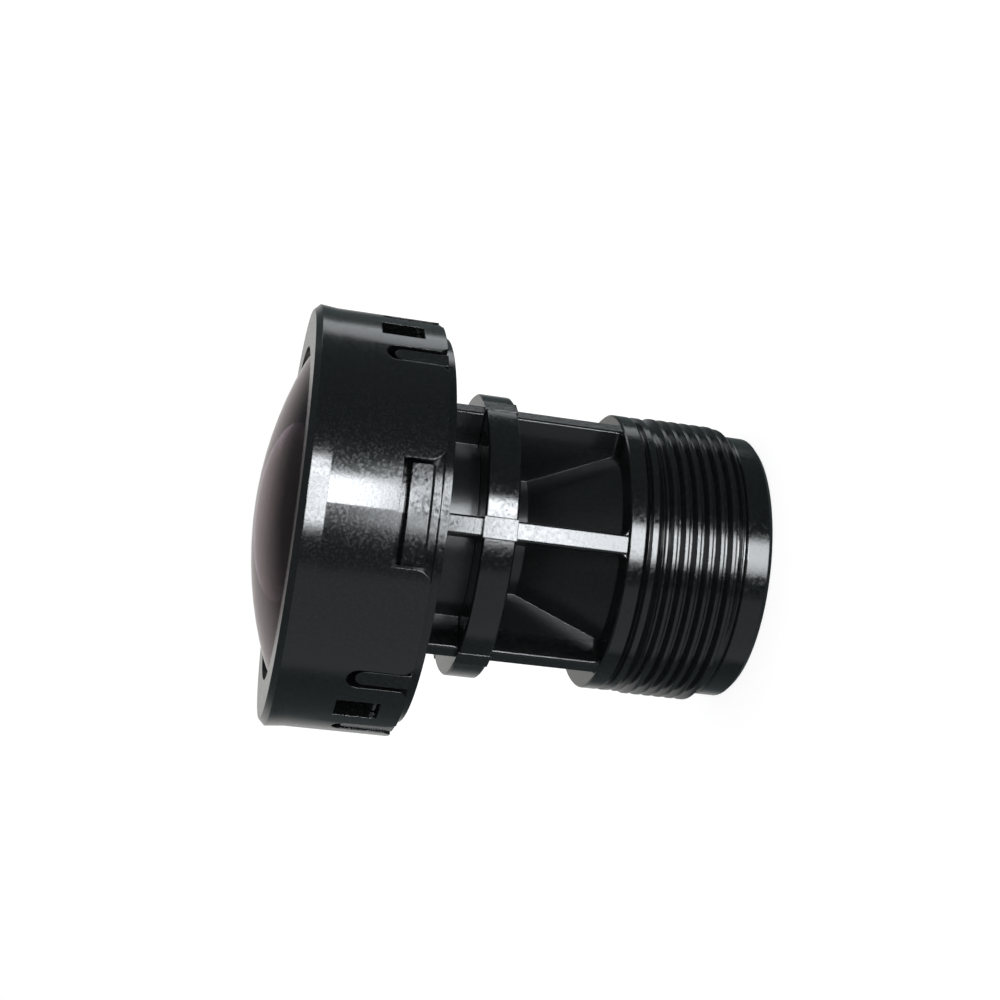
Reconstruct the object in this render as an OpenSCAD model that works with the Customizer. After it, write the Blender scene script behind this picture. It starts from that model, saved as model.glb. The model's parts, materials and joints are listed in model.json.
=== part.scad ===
// Wide-angle action camera lens with an M12 fine-thread mount.
// The lens stands on its rear end: +Z runs along the optical axis to the front,
// the origin is the centre of the rear face, and +X points along one rib.

/* [Rear mount] */
// Outer diameter of the mounting thread
thread_diameter = 12; // [11.5:0.5:14]
// Pitch of the mounting thread
thread_pitch = 0.5; // [0.4:0.05:0.6]
// Full turns of thread
thread_turns = 7; // [5:1:9]
// Plain pilot behind the thread
pilot_length = 1.3; // [0.9:0.05:1.8]
// Diameter of the pilot
pilot_diameter = 11.36; // [11:0.02:11.4]
// Smooth band between the thread and the flange groove
band_length = 0.6; // [0.4:0.05:0.8]
// Diameter of the rear flange
flange_diameter = 11.9; // [11.5:0.05:12.4]
// Thickness of the rear flange
flange_thickness = 0.8; // [0.5:0.05:1]

/* [Open barrel] */
// Height of the open window between flange and collar
window_height = 4.6; // [4.3:0.1:5.4]
// Diameter of the collar
collar_diameter = 12.1; // [11.8:0.1:13]
// Thickness of the collar
collar_thickness = 1.35; // [1.1:0.05:1.8]
// Gap between the collar and the head
head_gap = 1.75; // [1.5:0.05:2.2]
// Diameter over the outer faces of the ribs
rib_circle = 11.64; // [11.2:0.05:11.8]
// Width of each rib
rib_width = 0.78; // [0.5:0.02:1]
// Fillet where a rib meets the flange
rib_fillet = 0.25; // [0.1:0.05:0.4]
// Outer diameter of the neck at the aperture
neck_diameter = 6; // [5.8:0.1:6.6]
// Height of the straight neck below the collar
neck_height = 1.0; // [0.8:0.05:1.3]
// Diameter of the cone where it meets the flange
cone_base_diameter = 9.5; // [9.1:0.1:10.2]
// Outer diameter of the core between collar and head
core_diameter = 8.7; // [8.6:0.1:9.4]

/* [Head and front cap] */
// Outer diameter of the front cap
cap_diameter = 17.6; // [17.2:0.1:19]
// Height of the front cap
cap_height = 5.3; // [5.2:0.1:6]
// Wall of the front cap
cap_wall = 0.7; // [0.6:0.05:0.8]
// Thickness of the cap's front lip
lip_thickness = 0.65; // [0.5:0.05:0.8]
// Bevel round the cap's front edge
cap_bevel = 0.25; // [0.1:0.05:0.4]
// Height of the slightly flared band at the cap's front
flare_height = 0.75; // [0.4:0.05:1]
// How far that band stands out of the cap's side
flare_rise = 0.07; // [0.02:0.01:0.12]
// Wall of the barrel's cup inside the cap
cup_wall = 0.57; // [0.45:0.03:0.6]
// Height of the barrel's rim behind the cap
rim_height = 0.4; // [0.3:0.05:0.6]
// How far the rim stands out of the cup
rim_rise = 0.15; // [0.05:0.05:0.3]

/* [Clip joints] */
// Clip tongues round the cap
tongue_count = 3; // [2:1:4]
// Angle from a tongue's centre to each of its slots
slot_angle = 13.4; // [12.5:0.1:15]
// Width of a slot
slot_width = 1.0; // [0.9:0.05:1.2]
// Length of a slot from the cap's rear edge
slot_length = 2.5; // [2.2:0.1:3]
// Width of a tongue's window
latch_window_width = 1.3; // [1:0.05:1.5]
// Length of a tongue's window along the axis
latch_window_length = 1.75; // [1.4:0.05:2]
// Bar of the tongue behind its window
latch_bar = 0.9; // [0.7:0.05:1.1]
// Height of a hook above the cup
hook_height = 0.42; // [0.25:0.03:0.5]
// Width of the notch for a locating block
notch_width = 4.15; // [3.4:0.05:4.6]
// Depth of the notch from the cap's rear edge
notch_depth = 1.6; // [1.3:0.05:1.9]
// Rounding of the notch's corners at the rear edge
notch_round = 0.7; // [0.3:0.05:1]
// Gap between a block or key and the cap around it
key_gap = 0.13; // [0.08:0.01:0.2]

/* [Front glass] */
// Radius of the dome's front surface
dome_radius = 16.5; // [15:0.5:20]
// Rise of the dome above the cap's front face
dome_rise = 1.3; // [1.2:0.05:1.6]
// Width of the ledge that the cap's lip holds
ledge_width = 0.45; // [0.35:0.05:0.55]
// Glass thickness at the middle of the dome
dome_middle = 0.9; // [0.7:0.1:1.2]
// Radius of the dome's rear opening
dome_bowl = 5.0; // [4.8:0.1:5.2]
// Height of the dome's front edge above its step
dome_edge = 1.2; // [1:0.05:1.3]
// Height of the sealing ring
seal_height = 0.75; // [0.6:0.05:0.8]
// Width of the sealing ring
seal_width = 0.7; // [0.6:0.05:0.75]

/* [Inner glass] */
// Diameter of the second and third elements
front_glass_diameter = 7.3; // [7.1:0.1:7.5]
// Diameter of the fourth element
neck_glass_diameter = 4.8; // [4.6:0.05:4.9]
// Diameter of the cemented pair
pair_diameter = 5.8; // [5.6:0.1:6.2]
// Diameter of the rear element
rear_glass_diameter = 8.4; // [8:0.1:8.8]
// Diameter of the infrared-cut filter
filter_diameter = 9.4; // [9.2:0.05:9.6]
// Thickness of the infrared-cut filter
filter_thickness = 0.4; // [0.3:0.05:0.5]
// Thickness of each light shield
shield_thickness = 0.08; // [0.06:0.01:0.1]
// Diameter of the aperture
aperture_diameter = 1.9; // [1.2:0.1:2.2]

/* [Hidden] */

$fn = 96;
cut_over = 1;                // overrun of every cut past the face that it opens
slip = 0.03;                 // radial clearance of a piece in its bore
shield_slip = 0.02;          // further radial clearance of a light shield

// Rise of a spherical surface over a circle
function rise_of(sphere_radius, circle_radius) =
    sphere_radius - sqrt(sphere_radius * sphere_radius - circle_radius * circle_radius);
// Radius of the spherical surface with a given rise over a circle
function sphere_of(rise, circle_radius) =
    (circle_radius * circle_radius + rise * rise) / (2 * rise);

// Thread form, as shares of the pitch, and the rear end
thread_depth_share = 0.54;
thread_crest_share = 0.2;
thread_root_share = 0.16;
thread_radius = thread_diameter / 2;
root_radius = thread_radius - thread_depth_share * thread_pitch;
pilot_radius = pilot_diameter / 2;
relief_depth = 0.1;          // groove that ends the thread at the pilot
relief_width = 0.2;
pilot_bevel = 0.2;
mouth_bevel = 0.25;          // bevel of the rear opening
mouth_step = 0.2;            // the rear mouth is this much wider than the filter's bore
mouth_gap = 0.12;            // from the mouth's step to the filter's ring
band_inset = 0.05;           // the smooth band is this much inside the thread
band_radius = thread_radius - band_inset;
groove_width = 0.16;         // groove between the band and the flange
groove_depth = 0.2;
flange_radius = flange_diameter / 2;
flange_round = 0.14;         // rear edge of the flange
edge_bevel = 0.07;           // small bevel on the edges of ribs, flange and collar

// Heights above the rear face
thread_bottom = pilot_length;
thread_top = thread_bottom + thread_turns * thread_pitch;
flange_bottom = thread_top + band_length;
flange_top = flange_bottom + flange_thickness;
collar_bottom = flange_top + window_height;
collar_top = collar_bottom + collar_thickness;
head_bottom = collar_top + head_gap;
cap_bottom = head_bottom + rim_height;
cap_top = cap_bottom + cap_height;
neck_bottom = collar_bottom - neck_height;

// Ribs, one under each tongue and one under each locating block
rib_count = 2 * tongue_count;
rib_step = 360 / rib_count;
rib_radius = rib_circle / 2;
pad_rise = 0.015;            // the ribs' pads stand this far out of the collar
pad_overhang = 0.04;         // a pad passes its rib by this much on each side
pad_reach = 0.02;            // and the collar's two faces by this much
collar_radius = collar_diameter / 2;
neck_radius = neck_diameter / 2;
cone_radius = cone_base_diameter / 2;
core_radius = core_diameter / 2;

// Cup and cap
cap_radius = cap_diameter / 2;
cap_slip = 0.05;             // radial clearance of the cap on the cup
cap_bore = cap_radius - cap_wall;
cup_radius = cap_bore - cap_slip;
cup_bore = cup_radius - cup_wall;
cup_lip_gap = 0.1;           // from the cup's edge to the cap's lip
rim_radius = cup_radius + rim_rise;
rim_gap = 0.05;              // from the rim to the cap's rear edge
rim_top = cap_bottom - rim_gap;

// Dome, from the cap's lip down to the shelf that it sits over
ledge_z = cap_top - lip_thickness;
cup_top = ledge_z - cup_lip_gap;
dome_edge_radius = cup_bore - slip;
dome_face_radius = dome_edge_radius - ledge_width;
lip_bore = dome_face_radius + cap_slip;
step_z = ledge_z - dome_edge;
dome_base = step_z - seal_height;
shelf_z = dome_base - shield_thickness;
seal_inner = dome_edge_radius - seal_width;
seal_round = 0.2;
hub_radius = seal_inner - slip;
dome_apex = cap_top + dome_rise;
dome_bowl_depth = dome_apex - dome_middle - dome_base;
dome_shield_width = 2.0;     // from the hub's side inwards, past the bowl's edge

// Front group: third element, spacer, shield, second element and its retainer
front_radius = front_glass_diameter / 2;
front_bore = front_radius + slip;
collar_floor = 0.6;          // plastic under the third element
throat_radius = 2.2;         // opening between the third element and the aperture
lens_3_base = collar_bottom + collar_floor;
lens_3_edge = 0.9;
lens_3_land = 0.7;           // flat ring round the third element's front
lens_3_front = 5.2;          // radii of its front and rear surfaces
lens_3_rear = 6;
front_spacer_base = lens_3_base + lens_3_edge;
front_spacer_height = 1.05;
front_spacer_wall = 0.6;
lens_2_base = front_spacer_base + front_spacer_height + shield_thickness;
lens_2_edge = 1.75;
lens_2_land = 0.45;
lens_2_front = 14;
lens_2_middle = 0.7;
lens_2_bowl = 2.4;           // radius of its rear opening
lens_2_face = front_radius - lens_2_land;
lens_2_top = lens_2_base + lens_2_edge;
lens_2_bowl_depth = lens_2_edge + rise_of(lens_2_front, lens_2_face) - lens_2_middle;
retainer_nose = 0.3;         // part of the retainer that enters the bore
retainer_flange = 0.6;
retainer_width = 1.2;        // reach of the retainer's flange past the bore
retainer_seat = lens_2_top + retainer_nose;
retainer_bore = front_bore + retainer_width;
retainer_opening = lens_2_face + slip;

// Neck: aperture stop, fourth element and the spacer behind it
stop_drop = 0.5;             // from the collar's rear face down to the aperture
stop_z = collar_bottom - stop_drop;
neck_glass_radius = neck_glass_diameter / 2;
neck_bore = neck_glass_radius + slip;
lens_4_top = stop_z - shield_thickness;
lens_4_edge = 0.72;
lens_4_front = 15;           // radii of its hollow front and its rounded rear
lens_4_rear = 3.6;
lens_4_front_land = 0.4;
lens_4_rear_land = 0.2;
lens_4_base = lens_4_top - lens_4_edge;
neck_spacer_height = 1.3;
neck_spacer_wall = 0.2;

// Cemented pair
pair_seat = lens_4_base - neck_spacer_height;
pair_radius = pair_diameter / 2;
pair_bore = pair_radius + slip;
pair_land = 0.5;
pair_top = pair_seat - shield_thickness;
crown_edge = 0.42;
crown_front = 9;
pair_joint = 3.8;            // radius of the cemented surface
flint_edge = 2.0;
flint_rear = 12;
flint_rear_land = 0.4;
pair_base = pair_top - crown_edge - flint_edge;

// Rear group, hung from a shoulder just behind the flange
shoulder_drop = 0.4;
rear_shoulder = flange_bottom - shoulder_drop;
rear_radius = rear_glass_diameter / 2;
rear_bore = rear_radius + slip;
rear_spacer_flange = 0.45;
rear_spacer_wall = 0.4;
rear_spacer_rise = 0.1;      // the spacer's inner cone ends this far up its nose
rear_lens_top = rear_shoulder - rear_spacer_flange - shield_thickness;
rear_lens_edge = 1.17;
rear_lens_front = 9;
rear_lens_rear = 8;
rear_front_land = 0.7;
rear_rear_land = 0.6;
rear_lens_base = rear_lens_top - rear_lens_edge;
rear_ring_height = 0.95;
rear_ring_flare = 0.15;
rear_ring_top = rear_lens_base - shield_thickness;
rear_ring_base = rear_ring_top - rear_ring_height;
filter_radius = filter_diameter / 2;
filter_bore = filter_radius + slip;
filter_air = 0.05;           // between the rear ring and the filter
filter_seat = rear_ring_base - filter_air;
filter_ring_thickness = 0.4;
filter_ring_width = 0.6;
mouth_radius = filter_bore + mouth_step;
mouth_top = filter_seat - filter_thickness - filter_ring_thickness - mouth_gap;

// Tongues, windows, hooks, keys and locating blocks
latch_angles = [for (k = [0 : tongue_count - 1]) (k + 1 / 2) * 360 / tongue_count];
block_angles = [for (k = [0 : tongue_count - 1]) k * 360 / tongue_count];
slot_flare = 0.3;            // bevel at a slot's open end
notch_run_out = 0.03;        // a notch's rounding ends this far behind the cap
key_drop = 0.08;             // keys stand this far under the cap's surface
key_end_gap = 0.35;          // from a key's round end to the end of its slot
block_rise = 0.4;            // blocks stand this far out of the cup
block_inset = 0.3;           // from the cap's rear edge to a block
block_bevel = 0.12;
hook_gap = 0.05;             // from a hook to the tongue's bar
hook_side_gap = 0.1;
hook_flat = 0.16;
hook_ramp = 0.45;
key_width = slot_width - 2 * key_gap;
key_radius = cap_radius - key_drop;
block_width = notch_width - 2 * key_gap;
block_radius = cup_radius + block_rise;
latch_z = cap_bottom + latch_bar;
hook_width = latch_window_width - 2 * hook_side_gap;

moulded = [0.06, 0.06, 0.065];
satin = [0.11, 0.11, 0.12];
blackened = [0.15, 0.15, 0.16];
film = [0.03, 0.03, 0.03];
clear_glass = [0.74, 0.84, 0.88, 0.45];

// A round plate between two heights
module drum(radius, bottom, top) {
    translate([0, 0, bottom]) cylinder(r = radius, h = top - bottom);
}

// A flat ring between two heights
module ring(outer, inner, bottom, top) {
    rotate_extrude() translate([inner, bottom]) square([outer - inner, top - bottom]);
}

// A shape drawn as width and height, pushed outwards through a round wall
module radial(angle, inner, outer) {
    rotate([0, 0, angle]) translate([inner, 0, 0]) rotate([90, 0, 90])
        linear_extrude(height = outer - inner) children();
}

// A ball whose top, or bottom for a negative radius, is at a height on the axis
module ball(radius, pole) {
    translate([0, 0, pole - radius]) sphere(r = abs(radius));
}

// Upright's foot: its width, spread by a fillet on both sides from the given height
module foot(width, round, height) {
    difference() {
        translate([-width / 2 - round, height]) square([width + 2 * round, round]);
        for (side = [-1, 1])
            translate([side * (width / 2 + round), height + round]) circle(r = round);
    }
}

module slot_outline() {
    half = slot_width / 2;
    translate([-half, cap_bottom - cut_over])
        square([slot_width, cut_over + slot_length - half]);
    translate([0, cap_bottom + slot_length - half]) circle(r = half);
    polygon([[-half - slot_flare - cut_over, cap_bottom - cut_over],
        [0, cap_bottom + slot_flare + half],
        [half + slot_flare + cut_over, cap_bottom - cut_over]]);
}

module notch_outline() {
    translate([-notch_width / 2, cap_bottom - cut_over])
        square([notch_width, cut_over + notch_depth]);
    foot(notch_width, notch_round, cap_bottom - notch_run_out);
}

module key_outline() {
    key_top = cap_bottom + slot_length - key_end_gap - key_width / 2;
    translate([-key_width / 2, cap_bottom]) square([key_width, key_top - cap_bottom]);
    translate([0, key_top]) circle(r = key_width / 2);
}

// Outside of the barrel, from the rear end up to the cup's edge
module barrel_outline() {
    tooth_low = thread_root_share * thread_pitch / 2;
    tooth_high = (1 - thread_crest_share) * thread_pitch / 2;
    polygon(concat(
        [[0, 0], [pilot_radius - pilot_bevel, 0], [pilot_radius, pilot_bevel],
            [pilot_radius, thread_bottom - relief_width],
            [pilot_radius - relief_depth, thread_bottom - relief_width / 2],
            [pilot_radius - relief_depth, thread_bottom]],
        [for (turn = [0 : thread_turns - 1], corner = [0 : 3])
            let (base = thread_bottom + turn * thread_pitch)
            [[root_radius, base + tooth_low], [thread_radius, base + tooth_high],
                [thread_radius, base + thread_pitch - tooth_high],
                [root_radius, base + thread_pitch - tooth_low]][corner]],
        [[band_radius, thread_top + tooth_high],
            [band_radius, flange_bottom - groove_width],
            [band_radius - groove_depth, flange_bottom - groove_width / 2],
            [flange_radius - flange_round, flange_bottom],
            [flange_radius, flange_bottom + flange_round],
            [flange_radius, flange_top - edge_bevel], [flange_radius - edge_bevel, flange_top],
            [cone_radius, flange_top], [neck_radius, neck_bottom], [neck_radius, collar_bottom],
            [collar_radius - edge_bevel, collar_bottom],
            [collar_radius, collar_bottom + edge_bevel],
            [collar_radius, collar_top - edge_bevel], [collar_radius - edge_bevel, collar_top],
            [core_radius, collar_top], [core_radius, head_bottom],
            [rim_radius, head_bottom], [rim_radius, rim_top], [cup_radius, rim_top],
            [cup_radius, cup_top], [0, cup_top]]));
}

// Stepped bore that seats every inner piece
module bore_outline() {
    polygon([[0, -cut_over], [mouth_radius + mouth_bevel, -cut_over],
        [mouth_radius + mouth_bevel, 0], [mouth_radius, mouth_bevel],
        [mouth_radius, mouth_top], [filter_bore, mouth_top],
        [filter_bore, filter_seat], [rear_bore, filter_seat],
        [rear_bore, rear_shoulder], [pair_bore, rear_shoulder],
        [pair_bore, pair_seat], [neck_bore, pair_seat],
        [neck_bore, stop_z], [throat_radius, stop_z],
        [throat_radius, lens_3_base], [front_bore, lens_3_base],
        [front_bore, retainer_seat], [retainer_bore, retainer_seat],
        [retainer_bore, shelf_z], [cup_bore, shelf_z],
        [cup_bore, cup_top + cut_over], [0, cup_top + cut_over]]);
}

module rib() {
    translate([0, 0, flange_top - edge_bevel])
        linear_extrude(height = head_bottom - flange_top + edge_bevel + rim_height / 2)
        polygon([[0, -rib_width / 2], [rib_radius - edge_bevel, -rib_width / 2],
            [rib_radius, edge_bevel - rib_width / 2], [rib_radius, rib_width / 2 - edge_bevel],
            [rib_radius - edge_bevel, rib_width / 2], [0, rib_width / 2]]);
    radial(0, neck_radius, rib_radius - edge_bevel) foot(rib_width, rib_fillet, flange_top);
    radial(0, core_radius, collar_radius + pad_rise)
        translate([-rib_width / 2 - pad_overhang, collar_bottom - pad_reach])
        square([rib_width + 2 * pad_overhang, collar_thickness + 2 * pad_reach]);
}

module hook() {
    rotate([90, 0, 0]) linear_extrude(height = hook_width, center = true)
        polygon([[cup_bore + cup_wall / 2, latch_z + hook_gap],
            [cup_radius + hook_height, latch_z + hook_gap],
            [cup_radius + hook_height, latch_z + hook_gap + hook_flat],
            [cup_radius, latch_z + hook_gap + hook_flat + hook_ramp],
            [cup_bore + cup_wall / 2, latch_z + hook_gap + hook_flat + hook_ramp]]);
}

module block() {
    bottom = cap_bottom + block_inset;
    top = cap_bottom + notch_depth - 2 * key_gap;
    intersection() {
        rotate_extrude() polygon([[cup_bore + cup_wall / 2, bottom],
            [block_radius - block_bevel, bottom], [block_radius, bottom + block_bevel],
            [block_radius, top - block_bevel], [block_radius - block_bevel, top],
            [cup_bore + cup_wall / 2, top]]);
        translate([0, -block_width / 2, bottom]) cube([cap_radius, block_width, top - bottom]);
    }
}

// Moulded body: pilot, thread, flange, open ribs, collar, core and the cup for the dome
module barrel() {
    color(moulded) difference() {
        union() {
            rotate_extrude() barrel_outline();
            for (k = [0 : rib_count - 1]) rotate([0, 0, k * rib_step]) rib();
            for (angle = latch_angles) {
                rotate([0, 0, angle]) hook();
                for (side = [-1, 1])
                    radial(angle + side * slot_angle, cup_bore + cup_wall / 2, key_radius)
                        key_outline();
            }
            for (angle = block_angles) rotate([0, 0, angle]) block();
        }
        rotate_extrude() bore_outline();
    }
}

// Clipped front cap with its tongues, windows, slots and notches
module front_cap() {
    flare_top = cap_top - cap_bevel;
    color(satin) difference() {
        rotate_extrude() polygon([[cap_bore, cap_bottom], [cap_radius, cap_bottom],
            [cap_radius, flare_top - flare_height], [cap_radius + flare_rise, flare_top],
            [cap_radius + flare_rise - cap_bevel, cap_top], [lip_bore, cap_top],
            [lip_bore, ledge_z], [cap_bore, ledge_z]]);
        for (angle = latch_angles) {
            radial(angle, cup_bore, cap_radius + cut_over)
                translate([-latch_window_width / 2, latch_z])
                square([latch_window_width, latch_window_length]);
            for (side = [-1, 1])
                radial(angle + side * slot_angle, cup_bore, cap_radius + cut_over)
                    slot_outline();
        }
        for (angle = block_angles)
            radial(angle, cup_bore, cap_radius + cut_over) notch_outline();
    }
}

// Front element: domed face, ledge under the cap's lip, hub inside the seal, hollow rear
module dome_lens() {
    color(clear_glass) difference() {
        union() {
            intersection() {
                drum(dome_face_radius, step_z, dome_apex);
                ball(dome_radius, dome_apex);
            }
            drum(dome_edge_radius, step_z, ledge_z);
            drum(hub_radius, dome_base, step_z);
        }
        ball(sphere_of(dome_bowl_depth, dome_bowl), dome_base + dome_bowl_depth);
    }
}

module seal_ring() {
    color(film) rotate_extrude() {
        translate([seal_inner, shelf_z + seal_round])
            square([seal_width, step_z - shelf_z - 2 * seal_round]);
        translate([seal_inner + seal_round, shelf_z])
            square([seal_width - 2 * seal_round, step_z - shelf_z]);
        for (x = [seal_inner + seal_round, dome_edge_radius - seal_round],
            z = [shelf_z + seal_round, step_z - seal_round])
            translate([x, z]) circle(r = seal_round);
    }
}

module dome_light_shield() {
    color(film) ring(hub_radius, hub_radius - dome_shield_width, shelf_z, dome_base);
}

module lens_2() {
    color(clear_glass) difference() {
        union() {
            drum(front_radius, lens_2_base, lens_2_top);
            intersection() {
                drum(lens_2_face, lens_2_base, lens_2_top + lens_2_edge);
                ball(lens_2_front, lens_2_top + rise_of(lens_2_front, lens_2_face));
            }
        }
        ball(sphere_of(lens_2_bowl_depth, lens_2_bowl), lens_2_base + lens_2_bowl_depth);
    }
}

module lens_2_retainer() {
    color(blackened) {
        ring(front_radius, retainer_opening, lens_2_top, retainer_seat);
        ring(retainer_bore - slip, retainer_opening, retainer_seat,
            retainer_seat + retainer_flange);
    }
}

module lens_2_light_shield() {
    color(film) ring(front_radius - shield_slip, lens_2_bowl, lens_2_base - shield_thickness,
        lens_2_base);
}

module front_spacer() {
    color(blackened) ring(front_radius, front_radius - front_spacer_wall, front_spacer_base,
        front_spacer_base + front_spacer_height);
}

module lens_3() {
    face = front_radius - lens_3_land;
    top = front_spacer_base;
    color(clear_glass) {
        drum(front_radius, lens_3_base, top);
        intersection() {
            drum(face, lens_3_base, top + lens_3_front);
            ball(lens_3_front, top + rise_of(lens_3_front, face));
        }
        intersection() {
            drum(throat_radius - slip, lens_3_base - lens_3_rear, top);
            ball(-lens_3_rear, lens_3_base - rise_of(lens_3_rear, throat_radius - slip));
        }
    }
}

module aperture_stop() {
    color(film) ring(neck_glass_radius - shield_slip, aperture_diameter / 2, lens_4_top, stop_z);
}

module lens_4() {
    front_face = neck_glass_radius - lens_4_front_land;
    rear_face = neck_glass_radius - lens_4_rear_land;
    color(clear_glass) difference() {
        union() {
            drum(neck_glass_radius, lens_4_base, lens_4_top);
            intersection() {
                drum(rear_face, lens_4_base - lens_4_rear, lens_4_top);
                ball(-lens_4_rear, lens_4_base - rise_of(lens_4_rear, rear_face));
            }
        }
        ball(-lens_4_front, lens_4_top - rise_of(lens_4_front, front_face));
    }
}

module neck_spacer() {
    color(blackened) ring(neck_glass_radius, neck_glass_radius - neck_spacer_wall, pair_seat,
        lens_4_base);
}

module pair_light_shield() {
    color(film) ring(pair_radius - shield_slip, pair_radius - pair_land, pair_top, pair_seat);
}

// The cemented surface of the pair bulges to the rear
module pair_joint_ball() {
    ball(-pair_joint, pair_top - crown_edge - rise_of(pair_joint, pair_radius));
}

module pair_crown_lens() {
    face = pair_radius - pair_land;
    color(clear_glass) {
        drum(pair_radius, pair_top - crown_edge, pair_top);
        intersection() {
            drum(face, pair_top - crown_edge, pair_top + crown_front);
            ball(crown_front, pair_top + rise_of(crown_front, face));
        }
        intersection() {
            drum(pair_radius, pair_base, pair_top - crown_edge);
            pair_joint_ball();
        }
    }
}

module pair_flint_lens() {
    face = pair_radius - flint_rear_land;
    color(clear_glass) difference() {
        drum(pair_radius, pair_base, pair_top - crown_edge);
        pair_joint_ball();
        ball(flint_rear, pair_base + rise_of(flint_rear, face));
    }
}

module rear_spacer() {
    nose_inner = pair_radius - rear_spacer_wall;
    foot_z = rear_shoulder - rear_spacer_flange;
    color(blackened) rotate_extrude() polygon([[nose_inner, pair_base],
        [pair_radius, pair_base], [pair_radius, rear_shoulder], [rear_radius, rear_shoulder],
        [rear_radius, foot_z], [rear_radius - rear_front_land + slip, foot_z],
        [nose_inner, rear_shoulder + rear_spacer_rise]]);
}

module rear_lens_light_shield() {
    color(film) ring(rear_radius - shield_slip, rear_radius - rear_front_land + shield_slip,
        rear_lens_top, rear_lens_top + shield_thickness);
}

module rear_lens() {
    front_face = rear_radius - rear_front_land;
    rear_face = rear_radius - rear_rear_land;
    color(clear_glass) {
        drum(rear_radius, rear_lens_base, rear_lens_top);
        intersection() {
            drum(front_face, rear_lens_base, rear_lens_top + rear_lens_front);
            ball(rear_lens_front, rear_lens_top + rise_of(rear_lens_front, front_face));
        }
        intersection() {
            drum(rear_face, rear_lens_base - rear_lens_rear, rear_lens_top);
            ball(-rear_lens_rear, rear_lens_base - rise_of(rear_lens_rear, rear_face));
        }
    }
}

module rear_ring_light_shield() {
    color(film) ring(rear_radius - shield_slip, rear_radius - rear_rear_land + shield_slip,
        rear_ring_top, rear_lens_base);
}

module rear_ring() {
    opening = rear_radius - rear_rear_land + slip;
    color(blackened) rotate_extrude() polygon([[opening, rear_ring_top],
        [rear_radius, rear_ring_top], [rear_radius, rear_ring_base],
        [opening + rear_ring_flare, rear_ring_base]]);
}

module infrared_filter() {
    color(clear_glass) drum(filter_radius, filter_seat - filter_thickness, filter_seat);
}

module filter_ring() {
    top = filter_seat - filter_thickness;
    color(blackened) ring(filter_radius, filter_radius - filter_ring_width,
        top - filter_ring_thickness, top);
}

barrel();
front_cap();
dome_lens();
seal_ring();
dome_light_shield();
lens_2();
lens_2_retainer();
lens_2_light_shield();
front_spacer();
lens_3();
aperture_stop();
lens_4();
neck_spacer();
pair_light_shield();
pair_crown_lens();
pair_flint_lens();
rear_spacer();
rear_lens_light_shield();
rear_lens();
rear_ring_light_shield();
rear_ring();
infrared_filter();
filter_ring();
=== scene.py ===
import bpy, bmesh, json, math
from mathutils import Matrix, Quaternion, Vector


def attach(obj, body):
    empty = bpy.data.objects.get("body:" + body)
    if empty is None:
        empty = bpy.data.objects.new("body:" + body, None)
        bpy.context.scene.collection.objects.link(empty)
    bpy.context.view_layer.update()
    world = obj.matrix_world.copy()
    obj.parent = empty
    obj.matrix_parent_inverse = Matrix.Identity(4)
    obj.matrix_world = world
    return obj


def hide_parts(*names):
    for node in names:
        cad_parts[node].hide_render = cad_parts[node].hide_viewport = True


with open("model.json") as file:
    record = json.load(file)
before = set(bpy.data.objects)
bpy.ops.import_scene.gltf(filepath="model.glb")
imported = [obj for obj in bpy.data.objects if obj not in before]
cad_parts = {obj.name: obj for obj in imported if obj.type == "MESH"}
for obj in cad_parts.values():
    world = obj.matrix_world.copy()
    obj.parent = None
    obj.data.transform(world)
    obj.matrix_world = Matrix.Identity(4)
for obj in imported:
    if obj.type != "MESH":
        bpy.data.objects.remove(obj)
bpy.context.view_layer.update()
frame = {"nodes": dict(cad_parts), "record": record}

nodes = frame["nodes"]
scene = bpy.context.scene
mm = 0.001
print("frame loaded:", len(nodes), "pieces")

# place and line of sight in the lens's own frame, in mm
cameraValues = {
    "eye": (66.843, -4.129, 22.963),
    "target": (0.884, 5.845, 11.167),
    "roll": -82.017,          # degrees, the lens lies on its side in the picture
    "focalLength": 56.55,
    "sensorWidth": 36.0,
    "shiftUp": -0.1,
    "clipStart": 0.002,       # metres
    "clipEnd": 20.0,
}


def addCamera(values):
    data = bpy.data.cameras.new("photoCamera")
    data.lens = values["focalLength"]
    data.sensor_width = values["sensorWidth"]
    data.shift_y = values["shiftUp"]
    data.clip_start = values["clipStart"]
    data.clip_end = values["clipEnd"]
    eye = Vector(values["eye"]) * mm
    sight = Vector(values["target"]) * mm - eye
    camera = bpy.data.objects.new("photoCamera", data)
    camera.rotation_mode = "QUATERNION"
    camera.location = eye
    camera.rotation_quaternion = sight.to_track_quat("-Z", "Y") @ Quaternion(
        (0, 0, 1), math.radians(values["roll"]))
    scene.collection.objects.link(camera)
    scene.camera = camera


addCamera(cameraValues)
scene.view_settings.view_transform = "Standard"
print("camera placed")

studioValues = {
    "fillLevel": 0.42,                      # even light from all round
    "frontTint": (0.11, 0.135, 0.14),       # the room on the camera's side, as gloss shows it
    "backTint": (0.62, 0.62, 0.61),         # the white sweep behind the lens
    "sweepDirection": (-0.989, -0.112, 0.101),
    "sweepEdge": (0.89, 0.985),             # where the room turns into the sweep, 1 is its middle
    "lightTint": (0.93, 0.965, 1.0),
    "lightAim": 10.0,                       # height that the soft lights look at
    "fadeCards": 5,
    "fadeGap": 0.4,
    "floorRadius": 600.0,
    "floorSegments": 96,
    "floorGlow": 0.86,
    "floorColor": (0.8, 0.8, 0.8),
    "floorShare": 0.5,
}

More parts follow.
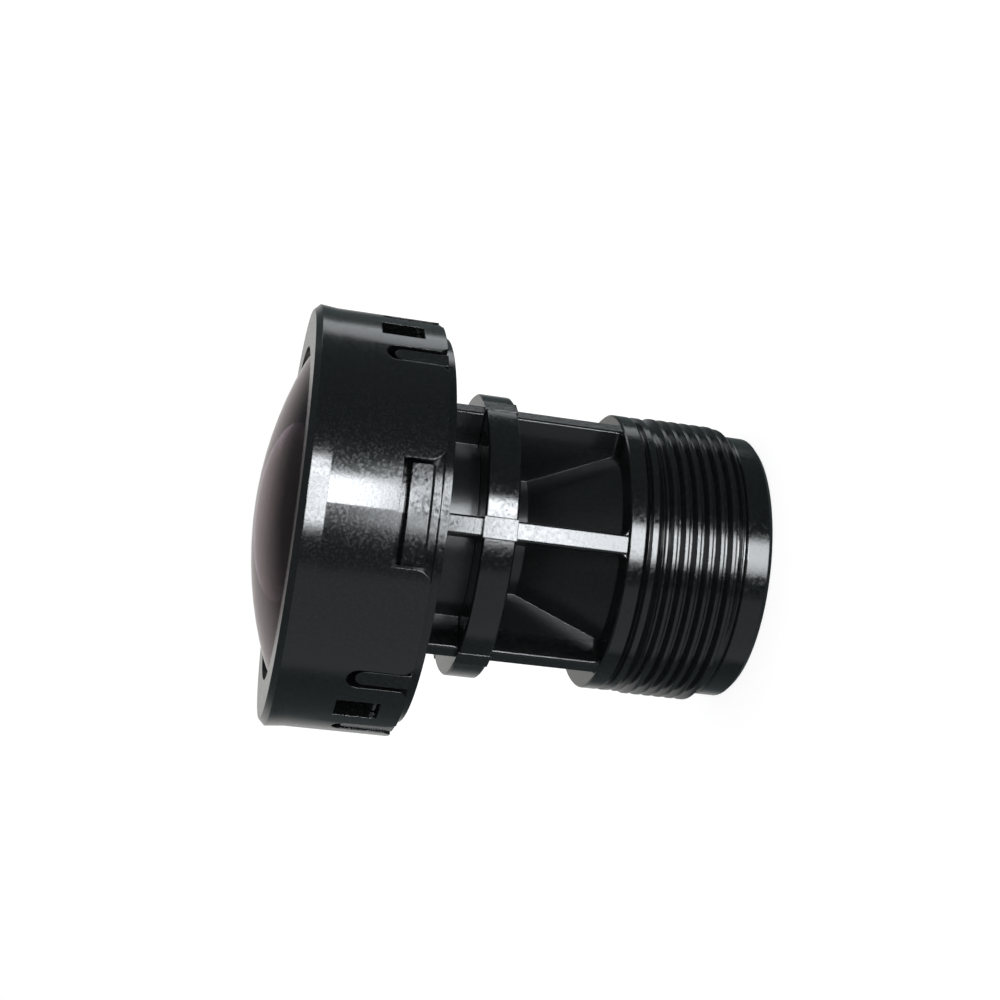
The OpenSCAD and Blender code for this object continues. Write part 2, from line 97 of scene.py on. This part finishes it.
# soft lights: angle round the lens, height, distance, size across and along it, brightness,
# and the share of its size over which a light fades out
softLights = {
    "stripLight": {"angle": 11.0, "height": 20.0, "distance": 150.0, "across": 37.0,
                   "along": 38.0, "brightness": 46.0, "fade": 0.2, "role": "gloss"},
    "collarLight": {"angle": 22.0, "height": -15.0, "distance": 150.0, "across": 25.0,
                    "along": 13.0, "brightness": 34.0, "fade": 0.4, "role": "gloss"},
    "lowLight": {"angle": 4.0, "height": -18.5, "distance": 150.0, "across": 70.0,
                 "along": 13.0, "brightness": 24.0, "fade": 0.3, "role": "gloss"},
    "blockLight": {"angle": -1.0, "height": -3.0, "distance": 150.0, "across": 21.0,
                   "along": 8.0, "brightness": 9.0, "fade": 0.3, "role": "gloss"},
    "windowLight": {"angle": 7.5, "height": -66.5, "distance": 150.0, "across": 76.0,
                    "along": 90.0, "brightness": 13.5, "fade": 0.4, "role": "gloss"},
    "bandLight": {"angle": 5.0, "height": -35.0, "distance": 150.0, "across": 70.0,
                  "along": 16.0, "brightness": 9.0, "fade": 0.4, "role": "gloss"},
    "underLight": {"angle": -60.0, "height": -30.0, "distance": 220.0, "across": 260.0,
                   "along": 300.0, "brightness": 0.36, "fade": 0.2, "role": "both"},
    "rearLight": {"angle": 118.0, "height": 40.0, "distance": 190.0, "across": 50.0,
                  "along": 190.0, "brightness": 1.9, "fade": 0.3, "role": "gloss"},
    "topLight": {"angle": 150.0, "height": 260.0, "distance": 60.0, "across": 220.0,
                 "along": 220.0, "brightness": 1.2, "fade": 0.0, "role": "fill"},
}


def buildWorld(values):
    world = bpy.data.worlds.new("studioWorld")
    scene.world = world
    world.use_nodes = True
    tree = world.node_tree
    tree.nodes.clear()
    output = tree.nodes.new("ShaderNodeOutputWorld")
    path = tree.nodes.new("ShaderNodeLightPath")
    coords = tree.nodes.new("ShaderNodeTexCoord")
    # how far a direction turns towards the white sweep
    toSweep = tree.nodes.new("ShaderNodeVectorMath")
    toSweep.operation = "DOT_PRODUCT"
    toSweep.inputs[1].default_value = values["sweepDirection"]
    tree.links.new(coords.outputs["Generated"], toSweep.inputs[0])
    ramp = tree.nodes.new("ShaderNodeValToRGB")
    ramp.color_ramp.interpolation = "EASE"
    ramp.color_ramp.elements[0].position = values["sweepEdge"][0]
    ramp.color_ramp.elements[0].color = (*values["frontTint"], 1)
    ramp.color_ramp.elements[1].position = values["sweepEdge"][1]
    ramp.color_ramp.elements[1].color = (*values["backTint"], 1)
    half = tree.nodes.new("ShaderNodeMapRange")
    half.inputs["From Min"].default_value = -1.0
    tree.links.new(toSweep.outputs["Value"], half.inputs["Value"])
    tree.links.new(half.outputs["Result"], ramp.inputs["Fac"])
    seen = tree.nodes.new("ShaderNodeBackground")        # white to the camera and through glass
    gloss = tree.nodes.new("ShaderNodeBackground")       # what shiny faces show
    tree.links.new(ramp.outputs["Color"], gloss.inputs["Color"])
    fill = tree.nodes.new("ShaderNodeBackground")        # what lights the lens
    seen.inputs["Color"].default_value = (1, 1, 1, 1)
    fill.inputs["Color"].default_value = (1, 1, 1, 1)
    fill.inputs["Strength"].default_value = values["fillLevel"]
    glossOrFill = tree.nodes.new("ShaderNodeMixShader")
    tree.links.new(path.outputs["Is Glossy Ray"], glossOrFill.inputs["Fac"])
    tree.links.new(fill.outputs["Background"], glossOrFill.inputs[1])
    tree.links.new(gloss.outputs["Background"], glossOrFill.inputs[2])
    direct = tree.nodes.new("ShaderNodeMath")
    direct.operation = "MAXIMUM"
    tree.links.new(path.outputs["Is Camera Ray"], direct.inputs[0])
    tree.links.new(path.outputs["Is Transmission Ray"], direct.inputs[1])
    mix = tree.nodes.new("ShaderNodeMixShader")
    tree.links.new(direct.outputs["Value"], mix.inputs["Fac"])
    tree.links.new(glossOrFill.outputs["Shader"], mix.inputs[1])
    tree.links.new(seen.outputs["Background"], mix.inputs[2])
    tree.links.new(mix.outputs["Shader"], output.inputs["Surface"])


def addSoftLight(name, values, studio):
    turn = math.radians(values["angle"])
    place = Vector((math.cos(turn) * values["distance"],
                    math.sin(turn) * values["distance"], values["height"])) * mm
    sight = Vector((0, 0, studio["lightAim"] * mm)) - place
    # nested cards, each a little smaller and nearer than the last, make an edge that fades
    cards = studio["fadeCards"] if values["fade"] else 1
    for step in range(cards):
        share = 1 + values["fade"] * (0.5 - step / max(1, cards - 1))
        data = bpy.data.lights.new(name, "AREA")
        data.shape = "RECTANGLE"
        data.size = values["across"] * share * mm
        data.size_y = values["along"] * share * mm
        data.energy = values["brightness"] / cards * math.pi * data.size * data.size_y
        data.color = studio["lightTint"]
        light = bpy.data.objects.new(name, data)
        light.location = place + sight.normalized() * step * studio["fadeGap"] * mm
        light.rotation_mode = "QUATERNION"
        light.rotation_quaternion = sight.to_track_quat("-Z", "Y")
        light.visible_camera = False
        light.visible_diffuse = values["role"] != "gloss"
        light.visible_glossy = values["role"] != "fill"
        scene.collection.objects.link(light)


def addFloor(values):
    bm = bmesh.new()
    bmesh.ops.create_circle(bm, cap_ends=True, segments=values["floorSegments"],
                            radius=values["floorRadius"] * mm)
    mesh = bpy.data.meshes.new("floor")
    bm.to_mesh(mesh)
    bm.free()
    floor = bpy.data.objects.new("floor", mesh)
    scene.collection.objects.link(floor)
    material = bpy.data.materials.new("paleFloor")
    material.use_nodes = True
    tree = material.node_tree
    tree.nodes.clear()
    output = tree.nodes.new("ShaderNodeOutputMaterial")
    path = tree.nodes.new("ShaderNodeLightPath")
    paper = tree.nodes.new("ShaderNodeBsdfDiffuse")
    paper.inputs["Color"].default_value = (*values["floorColor"], 1)
    glow = tree.nodes.new("ShaderNodeEmission")
    glow.inputs["Strength"].default_value = values["floorGlow"] / values["floorShare"]
    share = tree.nodes.new("ShaderNodeMath")
    share.operation = "MULTIPLY"
    share.inputs[1].default_value = values["floorShare"]
    tree.links.new(path.outputs["Is Camera Ray"], share.inputs[0])
    mix = tree.nodes.new("ShaderNodeMixShader")
    tree.links.new(share.outputs["Value"], mix.inputs["Fac"])
    tree.links.new(paper.outputs["BSDF"], mix.inputs[1])
    tree.links.new(glow.outputs["Emission"], mix.inputs[2])
    tree.links.new(mix.outputs["Shader"], output.inputs["Surface"])
    mesh.materials.append(material)
    floor.visible_glossy = False


buildWorld(studioValues)
for lightName, lightValues in softLights.items():
    addSoftLight(lightName, lightValues, studioValues)
addFloor(studioValues)
print("studio lit")


# the parts of a noise's range that are used, for measures and for colours
noiseReach = {"measure": (0.3, 0.7), "color": (0.35, 0.65)}


def newFinish(name, color):
    material = bpy.data.materials.new(name)
    material.use_nodes = True
    material.diffuse_color = (*color, 1)
    tree = material.node_tree
    tree.nodes.clear()
    output = tree.nodes.new("ShaderNodeOutputMaterial")
    shader = tree.nodes.new("ShaderNodeBsdfPrincipled")
    shader.inputs["Base Color"].default_value = (*color, 1)
    tree.links.new(shader.outputs["BSDF"], output.inputs["Surface"])
    return material, tree, shader


def addNoise(tree, featureSize, detail=3.0):
    coords = tree.nodes.new("ShaderNodeTexCoord")
    noise = tree.nodes.new("ShaderNodeTexNoise")
    noise.inputs["Scale"].default_value = 1 / (featureSize * mm)
    noise.inputs["Detail"].default_value = detail
    tree.links.new(coords.outputs["Object"], noise.inputs["Vector"])
    return noise


def spread(tree, noise, socket, low, high):
    reach = tree.nodes.new("ShaderNodeMapRange")
    reach.inputs["From Min"].default_value = noiseReach["measure"][0]
    reach.inputs["From Max"].default_value = noiseReach["measure"][1]
    reach.inputs["To Min"].default_value = low
    reach.inputs["To Max"].default_value = high
    tree.links.new(noise.outputs["Fac"], reach.inputs["Value"])
    tree.links.new(reach.outputs["Result"], socket)


def blendColors(tree, noise, socket, first, second):
    ramp = tree.nodes.new("ShaderNodeValToRGB")
    ramp.color_ramp.elements[0].position = noiseReach["color"][0]
    ramp.color_ramp.elements[0].color = (*first, 1)
    ramp.color_ramp.elements[1].position = noiseReach["color"][1]
    ramp.color_ramp.elements[1].color = (*second, 1)
    tree.links.new(noise.outputs["Fac"], ramp.inputs["Fac"])
    tree.links.new(ramp.outputs["Color"], socket)


def addRelief(tree, noise, depth, normal=None):
    bump = tree.nodes.new("ShaderNodeBump")
    bump.inputs["Distance"].default_value = depth * mm
    tree.links.new(noise.outputs["Fac"], bump.inputs["Height"])
    if normal is not None:
        tree.links.new(normal, bump.inputs["Normal"])
    return bump.outputs["Normal"]


# moulded black plastic: tiny ripples from the mould, patches of shine, softly broken edges
barrelLook = {"color": (0.007, 0.008, 0.0085), "flowColor": (0.013, 0.0145, 0.015),
              "roughness": (0.08, 0.22), "patchSize": 0.16, "rippleSize": 0.13,
              "rippleDepth": 0.0016, "grainSize": 0.045, "grainDepth": 0.0006,
              "edgeRadius": 0.055, "edgeSamples": 6,
              "coreReach": (4.75, 5.15), "coreRoughness": 0.28}
capLook = {"color": (0.009, 0.0102, 0.010), "flowColor": (0.015, 0.0165, 0.016),
           "roughness": (0.12, 0.22), "patchSize": 0.12, "rippleSize": 0.14,
           "rippleDepth": 0.0010, "grainSize": 0.045, "grainDepth": 0.0008,
           "edgeRadius": 0.05, "edgeSamples": 6}


def dullCore(tree, patches, socket, look):
    # the core inside the ribs keeps the mould's duller skin
    coords = tree.nodes.new("ShaderNodeTexCoord")
    flat = tree.nodes.new("ShaderNodeVectorMath")
    flat.operation = "MULTIPLY"
    flat.inputs[1].default_value = (1, 1, 0)
    fromAxis = tree.nodes.new("ShaderNodeVectorMath")
    fromAxis.operation = "LENGTH"
    share = tree.nodes.new("ShaderNodeMapRange")
    share.inputs["From Min"].default_value = look["coreReach"][0] * mm
    share.inputs["From Max"].default_value = look["coreReach"][1] * mm
    mix = tree.nodes.new("ShaderNodeMix")
    mix.inputs["A"].default_value = look["coreRoughness"]
    spread(tree, patches, mix.inputs["B"], *look["roughness"])
    tree.links.new(coords.outputs["Object"], flat.inputs[0])
    tree.links.new(flat.outputs["Vector"], fromAxis.inputs[0])
    tree.links.new(fromAxis.outputs["Value"], share.inputs["Value"])
    tree.links.new(share.outputs["Result"], mix.inputs["Factor"])
    tree.links.new(mix.outputs["Result"], socket)


def mouldedPlastic(name, look):
    material, tree, shader = newFinish(name, look["color"])
    patches = addNoise(tree, look["patchSize"])
    ripples = addNoise(tree, look["rippleSize"], 2.0)
    grain = addNoise(tree, look["grainSize"], 1.0)
    blendColors(tree, patches, shader.inputs["Base Color"], look["color"], look["flowColor"])
    if "coreReach" in look:
        dullCore(tree, patches, shader.inputs["Roughness"], look)
    else:
        spread(tree, patches, shader.inputs["Roughness"], *look["roughness"])
    edges = tree.nodes.new("ShaderNodeBevel")
    edges.samples = look["edgeSamples"]
    edges.inputs["Radius"].default_value = look["edgeRadius"] * mm
    rippled = addRelief(tree, ripples, look["rippleDepth"], edges.outputs["Normal"])
    tree.links.new(addRelief(tree, grain, look["grainDepth"], rippled), shader.inputs["Normal"])
    return material


# polished glass with a thin coating that turns its reflections purple
# the front glass's dark purple see-through colour is painted shade: it darkens the dome to stand
# for the dark inside of the lens
frontGlassLook = {"color": (0.22, 0.17, 0.22), "glossTint": (1.0, 0.88, 0.92),
                  "index": 1.5, "filmThickness": 118.0, "filmIndex": 1.38,
                  "smear": (0.0, 0.03), "smearSize": 3.0}
innerGlassLook = {"color": (0.80, 0.84, 0.95), "glossTint": (0.75, 0.85, 1.0),
                  "index": 1.62, "filmThickness": 105.0, "filmIndex": 1.38,
                  "smear": (0.0, 0.01), "smearSize": 2.0}
filterGlassLook = {"color": (0.70, 0.93, 0.95), "glossTint": (1.0, 0.75, 0.8),
                   "index": 1.52, "filmThickness": 420.0, "filmIndex": 2.1,
                   "smear": (0.0, 0.01), "smearSize": 2.0}


def polishedGlass(name, look):
    material, tree, shader = newFinish(name, look["color"])
    shader.inputs["Transmission Weight"].default_value = 1.0
    shader.inputs["Specular Tint"].default_value = (*look["glossTint"], 1)
    shader.inputs["IOR"].default_value = look["index"]
    shader.inputs["Thin Film Thickness"].default_value = look["filmThickness"]
    shader.inputs["Thin Film IOR"].default_value = look["filmIndex"]
    smears = addNoise(tree, look["smearSize"])
    spread(tree, smears, shader.inputs["Roughness"], *look["smear"])
    return material


# turned metal under black anodising: fine rings round the axis
turnedLook = {"color": (0.022, 0.022, 0.024), "wornColor": (0.035, 0.034, 0.034),
              "metallic": 0.6, "roughness": (0.32, 0.46), "patchSize": 0.8,
              "ringWidth": 0.36, "ringWander": 0.4, "ringDepth": 0.0015}


def turnedMetal(name, look):
    material, tree, shader = newFinish(name, look["color"])
    shader.inputs["Metallic"].default_value = look["metallic"]
    patches = addNoise(tree, look["patchSize"])
    blendColors(tree, patches, shader.inputs["Base Color"], look["color"], look["wornColor"])
    spread(tree, patches, shader.inputs["Roughness"], *look["roughness"])
    coords = tree.nodes.new("ShaderNodeTexCoord")
    rings = tree.nodes.new("ShaderNodeTexWave")
    rings.wave_type = "RINGS"
    rings.rings_direction = "Z"
    rings.inputs["Scale"].default_value = 1 / (look["ringWidth"] * mm)
    rings.inputs["Distortion"].default_value = look["ringWander"]
    tree.links.new(coords.outputs["Object"], rings.inputs["Vector"])
    bump = tree.nodes.new("ShaderNodeBump")
    bump.inputs["Distance"].default_value = look["ringDepth"] * mm
    tree.links.new(rings.outputs["Fac"], bump.inputs["Height"])
    tree.links.new(bump.outputs["Normal"], shader.inputs["Normal"])
    return material


dullLooks = {
    "sealRubber": {"color": (0.016, 0.016, 0.016), "dustColor": (0.03, 0.03, 0.03),
                   "roughness": (0.5, 0.68), "grainSize": 0.09, "grainDepth": 0.004},
    "shieldFilm": {"color": (0.008, 0.008, 0.008), "dustColor": (0.014, 0.014, 0.014),
                   "roughness": (0.7, 0.85), "grainSize": 0.05, "grainDepth": 0.002},
}


def dullBlack(name, look):
    material, tree, shader = newFinish(name, look["color"])
    grain = addNoise(tree, look["grainSize"])
    blendColors(tree, grain, shader.inputs["Base Color"], look["color"], look["dustColor"])
    spread(tree, grain, shader.inputs["Roughness"], *look["roughness"])
    tree.links.new(addRelief(tree, grain, look["grainDepth"]), shader.inputs["Normal"])
    return material


finishes = {
    "barrel_plastic": mouldedPlastic("barrelPlastic", barrelLook),
    "cap_plastic": mouldedPlastic("capPlastic", capLook),
    "coated_glass": polishedGlass("frontGlass", frontGlassLook),
    "lens_glass": polishedGlass("innerGlass", innerGlassLook),
    "filter_glass": polishedGlass("filterGlass", filterGlassLook),
    "blackened_metal": turnedMetal("turnedMetal", turnedLook),
    "seal_rubber": dullBlack("sealRubber", dullLooks["sealRubber"]),
    "shield_film": dullBlack("shieldFilm", dullLooks["shieldFilm"]),
}

slotOfNode = {part["node"]: part["material_slot"] for part in frame["record"]["subparts"]}
for nodeName, piece in nodes.items():
    if not piece.material_slots:
        piece.data.materials.append(None)
    for place in piece.material_slots:
        place.link = "OBJECT"
        place.material = finishes[slotOfNode[nodeName]]
print("finishes given:", len(finishes))

# the screw thread, as a true right-handed helix over the barrel's root
threadValues = {
    "pitch": 0.5, "turns": 7, "bottom": 1.3, "rootRadius": 5.69, "crestRadius": 6.0,
    "seatRadius": 5.64, "innerRadius": 5.45, "stepsPerTurn": 96, "runOut": 0.32,
    "spareTurns": 3,          # wound beyond both ends, then cut off
    "rimHeights": (-0.02, 0.08),     # in pitches, past the bottom and past the top
    "sharpAngle": 32.0,
    "barrelMargin": (0.01, 0.02),    # height and radius past which a point of the barrel moves
    "mergeReach": 0.001,
    # across one pitch: share of the pitch, share of the tooth's height
    "toothShares": ((0.0, 0.0), (0.085, 0.0), (0.105, 0.03), (0.345, 0.96), (0.365, 1.0),
                    (0.5, 1.0), (0.635, 1.0), (0.655, 0.96), (0.895, 0.03), (0.915, 0.0)),
}


def linkPiece(bm, name, finish, sharpAngle=0.0):
    bmesh.ops.recalc_face_normals(bm, faces=bm.faces)
    for face in bm.faces:
        face.smooth = True
    mesh = bpy.data.meshes.new(name)
    bm.to_mesh(mesh)
    bm.free()
    kept = mesh.attributes.get("shading")
    if kept is None:
        mesh.set_sharp_from_angle(angle=math.radians(sharpAngle))
    else:          # a copy of a solid takes back the solid's own smooth shading
        normals = [item.vector.copy() for item in kept.data]
        mesh.attributes.remove(kept)
        mesh.normals_split_custom_set(normals)
    mesh.materials.append(finishes[finish])
    piece = bpy.data.objects.new(name, mesh)
    scene.collection.objects.link(piece)
    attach(piece, "root")
    return piece


def setRadius(vert, radius):
    flat = math.hypot(vert.co.x, vert.co.y)
    vert.co.x *= radius / flat
    vert.co.y *= radius / flat


def buildThread(values):
    pitch = values["pitch"] * mm
    bottom = values["bottom"] * mm
    top = bottom + values["turns"] * pitch
    root = values["rootRadius"] * mm
    rise = values["crestRadius"] * mm - root
    bm = bmesh.new()
    lead = values["spareTurns"] / 2
    profile = [bm.verts.new((root + height * rise, 0, bottom + (along - lead) * pitch))
               for along, height in values["toothShares"] + ((1.0, 0.0),)]
    edges = [bm.edges.new(pair) for pair in zip(profile, profile[1:])]
    turns = values["turns"] + values["spareTurns"]
    steps = turns * values["stepsPerTurn"]
    bmesh.ops.spin(bm, geom=profile + edges, cent=(0, 0, 0), axis=(0, 0, 1),
                   dvec=(0, 0, turns * pitch / steps), angle=turns * 2 * math.pi, steps=steps)
    bmesh.ops.remove_doubles(bm, verts=bm.verts, dist=pitch / 500)
    for height, clearsTop in ((top + values["rimHeights"][1] * pitch, True),
                              (bottom + values["rimHeights"][0] * pitch, False)):
        bmesh.ops.bisect_plane(bm, geom=bm.verts[:] + bm.edges[:] + bm.faces[:],
                               plane_co=(0, 0, height), plane_no=(0, 0, 1),
                               clear_outer=clearsTop, clear_inner=not clearsTop)
    fade = values["runOut"] * mm
    for vert in bm.verts:
        reach = min(vert.co.z - bottom, top - vert.co.z) / fade
        share = max(0.0, min(1.0, reach))
        flat = math.hypot(vert.co.x, vert.co.y)
        setRadius(vert, root + (flat - root) * share * (2 - share))
    # walls inwards from both rims, joined into one closed ring
    inner = []
    for atTop in (True, False):
        middle = (top + bottom) / 2
        rim = [e for e in bm.edges if e.is_boundary
               and (e.verts[0].co.z > middle) == atTop and e not in inner]
        made = bmesh.ops.extrude_edge_only(bm, edges=rim)["geom"]
        for vert in (g for g in made if isinstance(g, bmesh.types.BMVert)):
            setRadius(vert, values["innerRadius"] * mm)
        inner += [g for g in made if isinstance(g, bmesh.types.BMEdge) and g.is_boundary]
    bmesh.ops.bridge_loops(bm, edges=inner)
    linkPiece(bm, "screwThread", "barrel_plastic", values["sharpAngle"])


def mergedCopy(nodeName, reach):
    mesh = nodes[nodeName].data.copy()
    normals = [item.vector.copy() for item in mesh.corner_normals]
    shading = mesh.attributes.new("shading", "FLOAT_VECTOR", "CORNER")
    for item, normal in zip(shading.data, normals):
        item.vector = normal
    bm = bmesh.new()
    bm.from_mesh(mesh)
    bpy.data.meshes.remove(mesh)
    bmesh.ops.remove_doubles(bm, verts=bm.verts, dist=reach * mm)
    return bm


def buildBarrel(values):
    bm = mergedCopy("barrel", values["mergeReach"])
    low = values["bottom"] * mm
    high = low + values["turns"] * values["pitch"] * mm
    root = values["rootRadius"] * mm
    lift, depth = (margin * mm for margin in values["barrelMargin"])
    for vert in bm.verts:      # press the plain ridges down under the helix
        flat = math.hypot(vert.co.x, vert.co.y)
        if low + lift < vert.co.z < high and flat > root - depth:
            setRadius(vert, values["seatRadius"] * mm)
    body = linkPiece(bm, "barrelBody", "barrel_plastic")
    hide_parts("barrel")


buildBarrel(threadValues)
buildThread(threadValues)
print("barrel and thread made")
